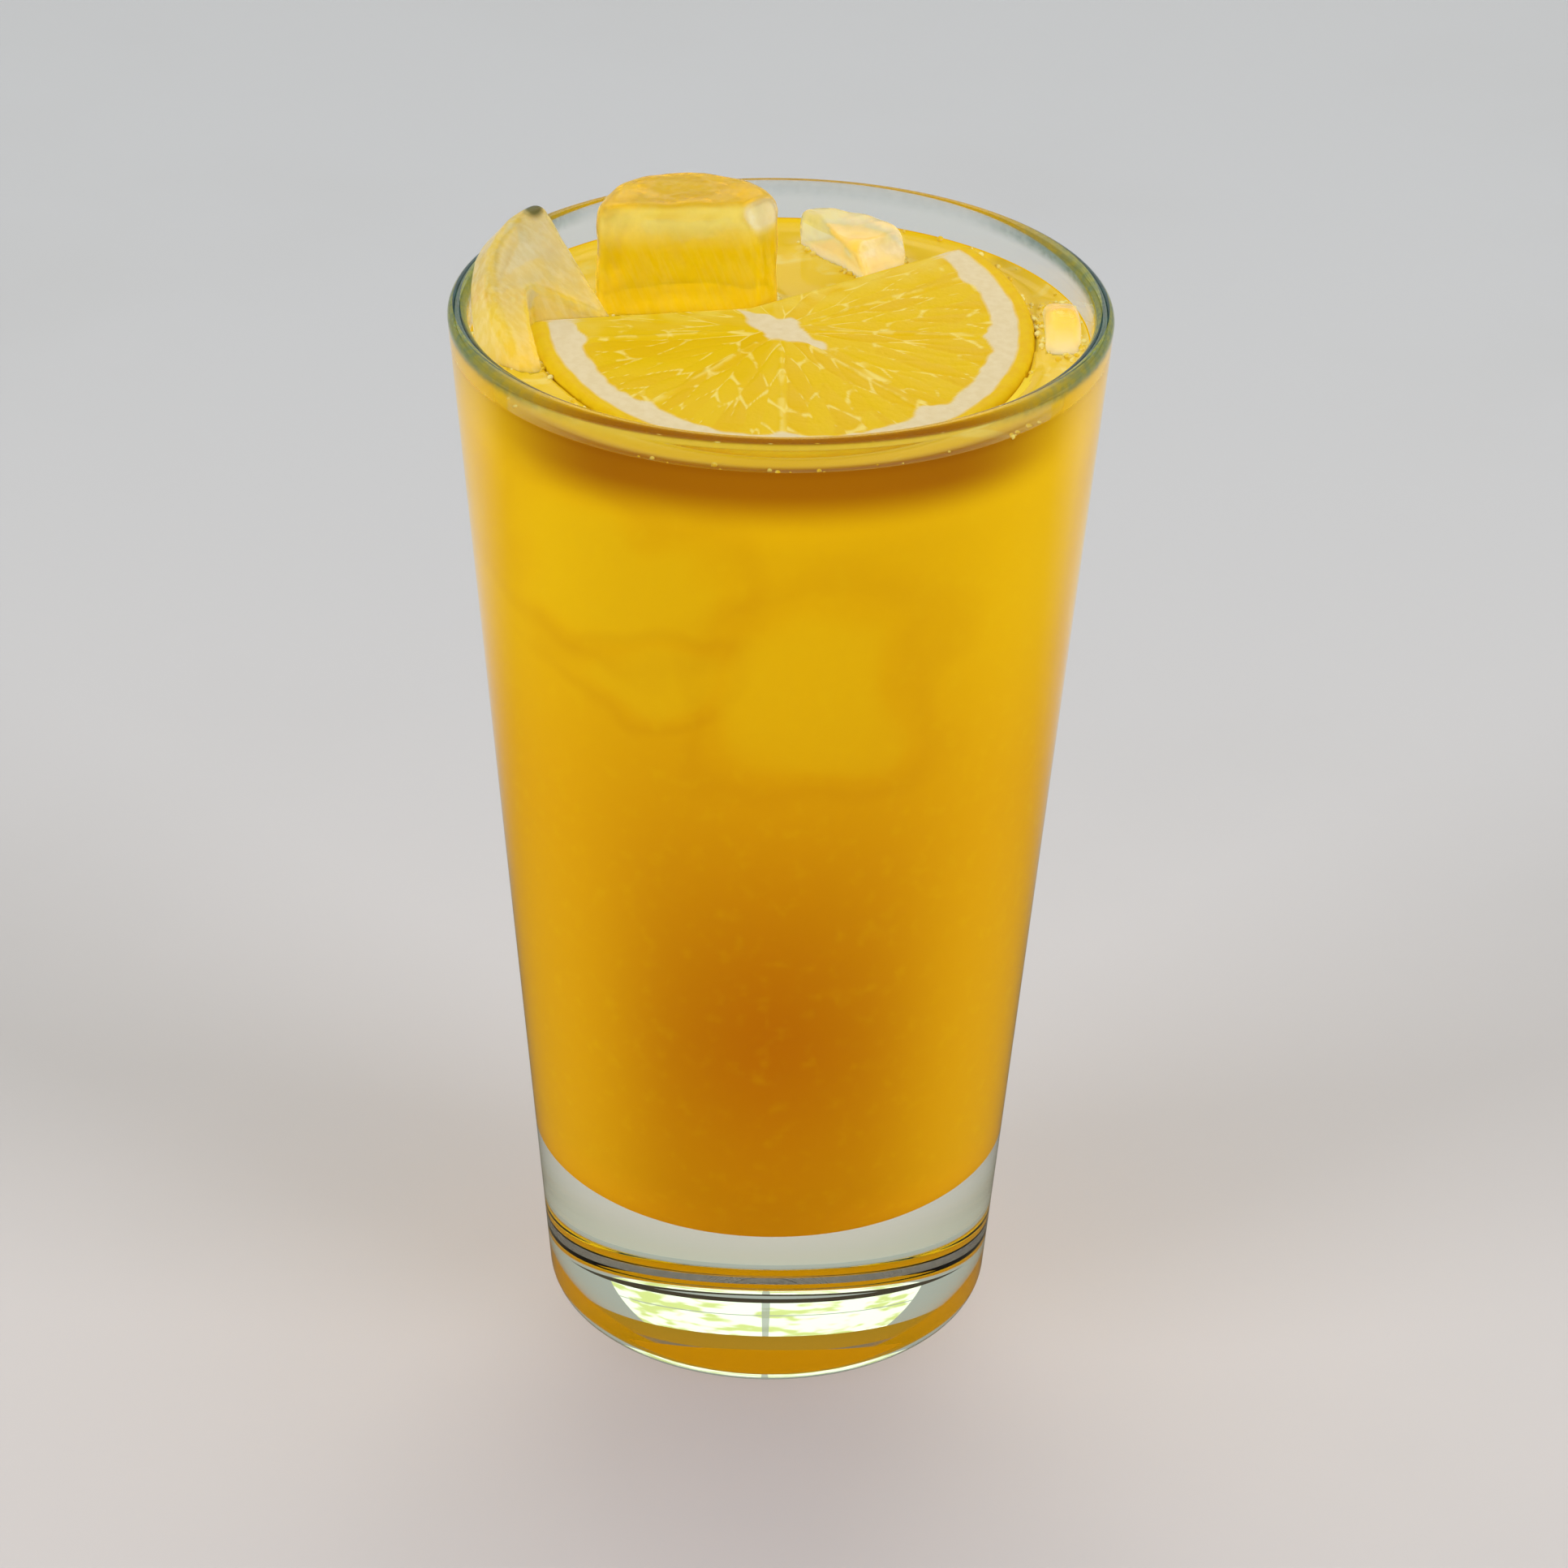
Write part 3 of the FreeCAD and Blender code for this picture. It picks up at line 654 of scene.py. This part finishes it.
def take_away(piece, tool):
    """Cut a tool's shape out of a piece, as a modifier."""
    cut = piece.modifiers.new("cut", "BOOLEAN")
    cut.operation = "DIFFERENCE"
    cut.solver = "MANIFOLD"
    cut.object = tool


def finished(piece):
    """What a piece's modifiers make of it, as a plain mesh. The piece itself is removed."""
    bpy.context.view_layer.update()
    made = bpy.data.meshes.new_from_object(piece.evaluated_get(bpy.context.evaluated_depsgraph_get()))
    bpy.data.objects.remove(piece)
    return made


def mark(mesh, name, values):
    """Give each point of a mesh a number, for its material."""
    mesh.attributes.new(name, "FLOAT", "POINT").data.foreach_set("value", values)


def chip_off(form, where, out):
    """Cut off all that lies past a plane, and close the cut."""
    cut = bmesh.ops.bisect_plane(form, geom=form.verts[:] + form.edges[:] + form.faces[:],
                                 plane_co=where, plane_no=out, clear_outer=True)
    edges = [part for part in cut["geom_cut"] if isinstance(part, bmesh.types.BMEdge)]
    bmesh.ops.holes_fill(form, edges=edges)


def chip_share(vertex, chip):
    """1 where a point lies on a chip's flat face, 0 away from it."""
    if chip is None:
        return 0.0
    where, out = chip
    out = Vector(out).normalized()
    near = max(0.0, 1 - abs((vertex.co - Vector(where)).dot(out)) / CHIP_DEPTH)
    return min(1.0, near * max(0.0, vertex.normal.dot(out)) ** 8 * 2)


def melted_copy(node, looks, seed):
    """A lump of ice as it has melted: the frame's solid, made even, softened and gently waved."""
    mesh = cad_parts[node].data.copy()
    form = bmesh.new()
    form.from_mesh(mesh)
    bmesh.ops.remove_doubles(form, verts=form.verts, dist=1e-6)
    bmesh.ops.recalc_face_normals(form, faces=form.faces)
    if looks["chip"]:
        chip_off(form, *looks["chip"])
    form.to_mesh(mesh)
    form.free()
    lump = put_in_scene("melting", mesh)
    if node == "ice_left":
        take_away(lump, slice_space)
    remesh = lump.modifiers.new("even", "REMESH")
    remesh.mode = "VOXEL"
    remesh.voxel_size = looks["grain"] * MM
    soften = lump.modifiers.new("soften", "SMOOTH")
    soften.factor = 0.5
    soften.iterations = SOFTENING
    made = finished(lump)
    made.materials.clear()
    moved = []
    for vertex in made.vertices:
        wave = noise.noise(vertex.co / WAVE_LONG + Vector((seed, 0, 0))) * 0.75
        wave += noise.noise(vertex.co / WAVE_SHORT + Vector((0, seed, 0))) * 0.25
        moved.append(vertex.co + vertex.normal * (wave - 0.3) * looks["waves"] * MM)
    for vertex, place in zip(made.vertices, moved):
        vertex.co = place
    made.shade_smooth()
    # How sharply the surface turns: the mean of the normals round a point is short at an edge.
    count = len(made.vertices)
    pairs = np.zeros(len(made.edges) * 2, dtype=np.int64)
    made.edges.foreach_get("vertices", pairs)
    first, second = pairs[0::2], pairs[1::2]
    normals = np.zeros(count * 3)
    made.vertices.foreach_get("normal", normals)
    normals = normals.reshape(-1, 3)
    near = np.bincount(pairs, minlength=count)[:, None] + 1
    for _ in range(SPREADING):
        total = normals.copy()
        np.add.at(total, first, normals[second])
        np.add.at(total, second, normals[first])
        normals = total / near
    mark(made, "edge", 1 - np.linalg.norm(normals, axis=1))
    mark(made, "front", -normals[:, 1])
    mark(made, "chip", [chip_share(vertex, looks["chip"]) for vertex in made.vertices])
    return put_in_scene(node + "_melted", made)


ice = {node: melted_copy(node, looks, 9.0 * index) for index, (node, looks) in enumerate(LUMPS.items())}
bpy.data.objects.remove(slice_space)

EDGE_GOLD_SHADE, STREAK_PALE, CHIP_FROST = (0.70, 0.53, 0.04), (0.90, 0.84, 0.62), (0.84, 0.91, 0.84)
TIP_SHADE, TOP_CLEAR, ICE_SHADOW = (0.03, 0.05, 0.02), (1.0, 0.99, 0.94), (0.93, 0.93, 0.92)
for node, lump in ice.items():
    looks = LUMPS[node]
    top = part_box(node)[1].z
    paint, shader = material(node + "_ice")
    place = shader.place()
    veil = shader.noise(place, 160.0, 4.0, 0.6).rise(0.42, 0.72)
    across, ahead, high = shader.parts(place)
    drawn_out = {0: across * 6 + high * 2.4, 1: ahead * 6, 2: high * 0.9}
    along = shader.node("ShaderNodeCombineXYZ", sockets=drawn_out)
    streaks = shader.noise(along, 190.0, 3.0).rise(0.38, 0.66)
    edge = shader.attribute("edge").rise(0.012, 0.05)
    front = shader.attribute("front").rise(0.15, 0.75)
    chip = shader.attribute("chip") * (veil * 0.5 + 0.5)
    at_tip = None
    # Where the left lump's tip is, for its painted shade.
    if node == "ice_left":
        tip = max((vertex.co for vertex in lump.data.vertices), key=lambda co: co.z)
        parts = [part - middle for part, middle in zip((across, ahead, high), tip)]
        from_tip = (parts[0] * parts[0] + parts[1] * parts[1] * 0.3 + parts[2] * parts[2]).power(0.5)
        at_tip = from_tip.rise(1.9 * MM, 0.8 * MM)

    # Painted light: the clear ice is tinted gold by the drink's light low down, fading to clear at the
    # top.
    fade = high.rise(HEIGHT - 2 * MM, HEIGHT + 9 * MM) * looks["paler"]
    wet = shader.principled({
        "Base Color": shader.blend(fade, looks["clear"], TOP_CLEAR), "Roughness": veil * 0.12 + 0.04,
        "IOR": 1.31, "Transmission Weight": 1.0, "Specular Tint": (0.6, 0.6, 0.6, 1),
        "Normal": shader.bump(shader.noise(place, 300.0, 2.0), 0.0002)})

    # Painted light: the milky body is gold from the drink low down and paler higher up, with another
    # painted colour on its crown, away from the front.
    upper = high.rise(LEVEL + looks["pale_from"] * MM, top - 1.8 * MM)
    body = shader.blend(front, looks["crown"], shader.blend(upper, looks["low"], looks["high"]))
    # Painted shade: a golden-dark line along the lump's sharp edges.
    body = shader.blend(edge * looks["edges"], body, EDGE_GOLD_SHADE)
    body = shader.blend(streaks * looks["streaks"], body, STREAK_PALE)
    # Painted shade: the left lump's tip is dark.
    if at_tip is not None:
        body = shader.blend(at_tip, body, TIP_SHADE)
    body = shader.blend(chip, body, CHIP_FROST)
    milky = shader.principled({
        "Base Color": body, "Roughness": 0.22, "IOR": 1.31, "Specular IOR Level": 0.3,
        "Subsurface Weight": 1.0, "Subsurface Radius": (1.0, 1.0, 0.8), "Subsurface Scale": 0.003})

    cloud = (veil * 0.15 + 0.85) * looks["cloud"] * (1 - edge * 0.3) * (front * 0.25 + 0.75)
    if at_tip is not None:
        cloud = cloud.most(at_tip * 0.85)
    cloud = cloud.most(high.rise(LEVEL + 4 * MM, LEVEL - 0.5 * MM) * 0.85).most(chip * 0.6)
    lump_body = shader.node("ShaderNodeMixShader", sockets={0: cloud, 1: wet, 2: milky})
    shader.finish(shader.open_to_light(lump_body, ICE_SHADOW))
    lump.data.materials.append(paint)
    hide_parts(node)
    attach(lump, "root")

# ------------------------------------------------------------------------------------------------
# The drink: cloudy ginger lemonade that wets the wall, the ice and the slice, and climbs a little
# up each of them. It reaches just into the glass, so that no air shows between them.
# ------------------------------------------------------------------------------------------------

REACH = 0.08 * MM                  # how far the drink goes into the glass and the ice
CLIMB, CLIMB_WIDTH = 0.6 * MM, 0.9 * MM
DIP_WIDTH, UNDER_SLICE = 1.6 * MM, 1.5 * MM      # where the surface dips to the slice's low edge
TOP_RINGS = 84


def tree_of(piece):
    """For finding the nearest point of a piece."""
    mesh = piece.data
    return BVHTree.FromPolygons([v.co for v in mesh.vertices], [p.vertices for p in mesh.polygons])


wetted = [tree_of(piece) for piece in (orange, *ice.values())]


def surface_height(x, y):
    """How high the drink stands at a place: it climbs what it wets, and ends under the slice's top."""
    climb = exp(-max(bore_radius(LEVEL) - hypot(x, y), 0) / CLIMB_WIDTH)
    for tree in wetted:
        found = tree.find_nearest(Vector((x, y, LEVEL)), 4 * MM)
        if found[0] is not None:
            climb = max(climb, 0.8 * exp(-found[3] / CLIMB_WIDTH))
    height = LEVEL + CLIMB * climb
    local = SLICE_UNPLACE @ Vector((x, y, LEVEL))
    out = oval_reach(local.x, local.y)
    gap = (out - 1) * hypot(local.x, local.y) / max(out, 1e-6)
    gap = max(gap, past_cuts(local.x, local.y))
    on_top = (SLICE_PLACE @ Vector((local.x, local.y, 0))).z
    if gap < 0:
        return min(height, on_top - UNDER_SLICE)
    edge = on_top - RIND_ROUND * 0.4
    return height if edge > height else height + (edge - height) * exp(-(gap / DIP_WIDTH) ** 2)


level_radius = bore_radius(LEVEL + CLIMB, REACH)
outline = bowl(REACH)
outline[0] = (0, FLOOR - REACH)
outline += [(bore_radius(LEVEL * share, REACH), LEVEL * share) for share in (0.4, 0.6, 0.8, 0.92)]
outline += [(level_radius * (1 - (i / TOP_RINGS) ** 1.15), LEVEL) for i in range(TOP_RINGS)] + [(0, LEVEL)]
drink = turned("lemonade_fill", outline)
for vertex in drink.data.vertices:
    if vertex.co.z > LEVEL - 1e-6:
        vertex.co.z = surface_height(vertex.co.x, vertex.co.y)

# Each lump of ice sits in a hollow of its own shape.
for lump in ice.values():
    seat = put_in_scene("seat", lump.data.copy())
    for vertex, normal in zip(seat.data.vertices, [v.normal.copy() for v in lump.data.vertices]):
        vertex.co -= normal * REACH
    take_away(drink, seat)
    drink = put_in_scene("lemonade_fill", finished(drink))
    bpy.data.objects.remove(seat)
drink.data.materials.clear()
drink.data.shade_smooth()

DRINK_TOP, DRINK_MIDDLE, DRINK_FOOT = (0.86, 0.46, 0.002), (0.80, 0.365, 0.002), (0.74, 0.34, 0.001)
DRINK_SIDE_LOW, DRINK_SIDE_HIGH = (0.84, 0.43, 0.002), (0.91, 0.54, 0.002)
DRINK_SHADE, DRINK_SHADE_BENEATH, DRINK_PALE = (0.53, 0.15, 0.001), (0.36, 0.10, 0.001), (0.93, 0.60, 0.006)
DRINK_SURFACE, DRINK_WET = (0.88, 0.57, 0.012), (0.93, 0.76, 0.22)
SEAT_LOW, SEAT_HIGH = (0.80, 0.60, 0.05), (0.86, 0.64, 0.05)
SEAT_GLOW, FOOT_GLOW, NO_GLOW = (0.36, 0.28, 0.02), (0.20, 0.085, 0.001), (0, 0, 0)
# Ice sunk near the wall, which shows as soft lighter places ringed by faint painted shade: its middle and
# its half sizes.
SUNK_ICE = (
    ((-22 * MM, -30 * MM, 128 * MM), (11 * MM, 14 * MM, 7 * MM)),
    ((-16 * MM, -32 * MM, 115 * MM), (8 * MM, 12 * MM, 4 * MM)),
    ((5 * MM, -34 * MM, 112 * MM), (10 * MM, 12 * MM, 10 * MM)),
    ((28 * MM, 8 * MM, 120 * MM), (12 * MM, 12 * MM, 12 * MM)),
    ((-10 * MM, 30 * MM, 122 * MM), (12 * MM, 12 * MM, 13 * MM)))


def colour_in_glass(shader, place, across, ahead, high):
    """Amber low down and yellow at the top; painted shade darkens the front's middle, painted light makes
    the sides yellower, and sunk ice shows lighter, ringed by painted shade.
    """
    colour = shader.blend(high.rise(20 * MM, 90 * MM), DRINK_FOOT, DRINK_MIDDLE)
    colour = shader.blend(high.rise(80 * MM, 140 * MM), colour, DRINK_TOP)
    # Painted shade: the front's middle is darker amber.
    middle = across.size().rise(34 * MM, 0) * ahead.rise(0, -20 * MM)
    middle = middle * (high.rise(30 * MM, 60 * MM) * 0.4 + 0.6) * high.rise(112 * MM, 55 * MM)
    colour = shader.blend(middle * 0.95, colour, DRINK_SHADE)
    # Painted light: the sides are yellower, more so higher up.
    aside = across / bore_radius(high)
    side = shader.blend(high.rise(85 * MM, 125 * MM), DRINK_SIDE_LOW, DRINK_SIDE_HIGH)
    colour = shader.blend(aside.size().rise(0.35, 0.95) * 0.7, colour, side)
    drift = (shader.noise(place, 38.0, 2.0) - 0.5) * (34 * MM)
    drifted = (across + drift, ahead, high - drift * 0.8)
    for centre, half in SUNK_ICE:
        parts = [(part - middle) / size for part, middle, size in zip(drifted, centre, half)]
        away = parts[0].power(4) + parts[1].power(4) + parts[2].power(4)
        # A faint ring of painted shade round each sunk lump, then its lighter middle.
        colour = shader.blend(away.rise(1.5, 6.0) * away.rise(16.0, 6.0) * 0.10, colour, DRINK_SHADE)
        colour = shader.blend(away.rise(2.5, 0.0) * 0.26, colour, DRINK_PALE)
    return shader.blend(shader.noise(place, 420.0, 4.0).rise(0.5, 0.8) * 0.12, colour, DRINK_PALE)


def colour_on_top(shader, place):
    """Gold with paler wet streaks."""
    streaks = shader.noise(place, 130.0, 3.0, 0.55, 1.2)
    return shader.blend(streaks.rise(0.52, 0.72) * 0.55, DRINK_SURFACE, DRINK_WET)


def shade_under_the_lip(across, ahead, high):
    """The darker band of painted shade along the front of the wall, just under the level."""
    out = (across * across + ahead * ahead).power(0.5)
    near_wall = out.rise(bore_radius(LEVEL) - 3.0 * MM, bore_radius(LEVEL) - 1.2 * MM)
    near_wall = near_wall.most(high < LEVEL - 1.0 * MM)
    return near_wall * high.rise(LEVEL - 9 * MM, LEVEL - 2.4 * MM) * ahead.rise(*FRONT)


for name, shine in (("lemonade_in_glass", 0.0), ("lemonade_surface", 0.30), ("lemonade_seats", 0.0)):
    paint, shader = material(name)
    place = shader.place()
    across, ahead, high = shader.parts(place)
    if name == "lemonade_seats":
        colour = shader.blend(high.rise(LEVEL - 30 * MM, LEVEL), SEAT_LOW, SEAT_HIGH)
        # Painted light: the hollows round the ice glow just under the level.
        glow = shader.blend(high.rise(LEVEL, LEVEL - 3 * MM), NO_GLOW, SEAT_GLOW)
    else:
        if name == "lemonade_surface":
            colour = colour_on_top(shader, place)
        else:
            colour = colour_in_glass(shader, place, across, ahead, high)
        colour = shader.blend(shade_under_the_lip(across, ahead, high) * 0.9, colour, DRINK_SHADE_BENEATH)
        # Painted light: the drink glows amber at its foot.
        glow = shader.blend(high.rise(22 * MM, 34 * MM), FOOT_GLOW, NO_GLOW)
    shader.finish(shader.principled({
        "Base Color": colour, "Roughness": 0.12, "IOR": 1.34, "Specular IOR Level": shine,
        "Emission Color": glow, "Emission Strength": 1.0}))
    drink.data.materials.append(paint)
IN_GLASS, ON_TOP, IN_SEATS = range(3)
for face in drink.data.polygons:
    place = face.center
    if hypot(*place.xy) > bore_radius(place.z) - 0.3 * MM or place.z < 100 * MM:
        face.material_index = IN_GLASS
    else:
        level_face = place.z > LEVEL - 0.5 * MM and face.normal.z > 0.5
        face.material_index = ON_TOP if level_face else IN_SEATS
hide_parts("lemonade")
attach(drink, "root")

# ------------------------------------------------------------------------------------------------
# The bubbles: fine froth that gathers where the drink meets the slice's cut, the ice and the wall.
# Each is a small wet ball, half sunk in the surface.
# ------------------------------------------------------------------------------------------------

BUBBLES_A_SQUARE_METRE, BUBBLE_SMALL, BUBBLE_LARGE = 2.8e6, 0.12 * MM, 0.48 * MM


def froth_tree():
    """Balls of many sizes, scattered over a surface where its attribute gather is high."""
    tree = bpy.data.node_groups.new("froth", "GeometryNodeTree")
    inputs = {}
    for name, kind in (("Geometry", "NodeSocketGeometry"), ("Density", "NodeSocketFloat"),
                       ("Smallest", "NodeSocketFloat"), ("Largest", "NodeSocketFloat"),
                       ("Material", "NodeSocketMaterial")):
        inputs[name] = tree.interface.new_socket(name, in_out="INPUT", socket_type=kind)
    tree.interface.new_socket("Geometry", in_out="OUTPUT", socket_type="NodeSocketGeometry")
    start, end = tree.nodes.new("NodeGroupInput"), tree.nodes.new("NodeGroupOutput")
    gather = tree.nodes.new("GeometryNodeInputNamedAttribute")
    gather.inputs["Name"].default_value = "gather"
    density = tree.nodes.new("ShaderNodeMath")
    density.operation = "MULTIPLY"
    scatter = tree.nodes.new("GeometryNodeDistributePointsOnFaces")
    scatter.inputs["Seed"].default_value = 7
    ball = tree.nodes.new("GeometryNodeMeshIcoSphere")
    ball.inputs["Radius"].default_value = 1.0
    ball.inputs["Subdivisions"].default_value = 2
    size = tree.nodes.new("FunctionNodeRandomValue")
    size.inputs["Seed"].default_value = 3
    put = tree.nodes.new("GeometryNodeInstanceOnPoints")
    real = tree.nodes.new("GeometryNodeRealizeInstances")
    smooth = tree.nodes.new("GeometryNodeSetShadeSmooth")
    paint = tree.nodes.new("GeometryNodeSetMaterial")
    join = tree.links.new
    join(start.outputs["Density"], density.inputs[0])
    join(gather.outputs["Attribute"], density.inputs[1])
    join(start.outputs["Geometry"], scatter.inputs["Mesh"])
    join(density.outputs[0], scatter.inputs["Density"])
    join(start.outputs["Smallest"], size.inputs[2])
    join(start.outputs["Largest"], size.inputs[3])
    join(scatter.outputs["Points"], put.inputs["Points"])
    join(ball.outputs["Mesh"], put.inputs["Instance"])
    join(size.outputs[1], put.inputs["Scale"])
    join(put.outputs["Instances"], real.inputs[0])
    join(real.outputs[0], smooth.inputs[0])
    join(smooth.outputs[0], paint.inputs["Geometry"])
    join(start.outputs["Material"], paint.inputs["Material"])
    join(paint.outputs[0], end.inputs[0])
    return tree, inputs


BUBBLE_GOLD, BUBBLE_PALE = (0.86, 0.57, 0.03), (0.92, 0.78, 0.26)
paint, shader = material("froth")
skin = shader.noise(shader.place(), 700.0, 2.0).rise(0.4, 0.6)
skin = shader.blend(skin, BUBBLE_GOLD, BUBBLE_PALE)
shader.finish(shader.principled({"Base Color": skin, "Roughness": 0.12, "IOR": 1.33}))


def froth_at(vertex):
    """How thick the froth is at a point of the drink's surface, 0 to 1 or a little more."""
    if vertex.co.z < LEVEL - 0.7 * MM or vertex.normal.z < 0.3:
        return 0.0
    wall_gap = bore_radius(LEVEL) - hypot(*vertex.co.xy)
    share = 0.13 * exp(-((wall_gap - 0.6 * MM) / (0.6 * MM)) ** 2)
    for tree in wetted:
        found = tree.find_nearest(vertex.co, 3 * MM)
        if found[0] is not None:
            share = max(share, exp(-(found[3] / (0.7 * MM)) ** 2))
    return share * max(0.0, 0.5 + 1.6 * noise.noise(vertex.co / (4 * MM)))


surface = drink.data.copy()
mark(surface, "gather", [froth_at(vertex) for vertex in surface.vertices])
form = bmesh.new()
form.from_mesh(surface)
bottom = LEVEL - 0.8 * MM
hidden = [face for face in form.faces
          if face.normal.z < 0.3 or min(vertex.co.z for vertex in face.verts) < bottom]
bmesh.ops.delete(form, geom=hidden, context="FACES")
form.to_mesh(surface)
form.free()
froth_surface = put_in_scene("froth_surface", surface)
tree, inputs = froth_tree()
scatter = froth_surface.modifiers.new("froth", "NODES")
scatter.node_group = tree
for name, value in (("Density", BUBBLES_A_SQUARE_METRE), ("Smallest", BUBBLE_SMALL),
                    ("Largest", BUBBLE_LARGE), ("Material", paint)):
    scatter[inputs[name].identifier] = value
froth = put_in_scene("froth_bubbles", finished(froth_surface))
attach(froth, "root")
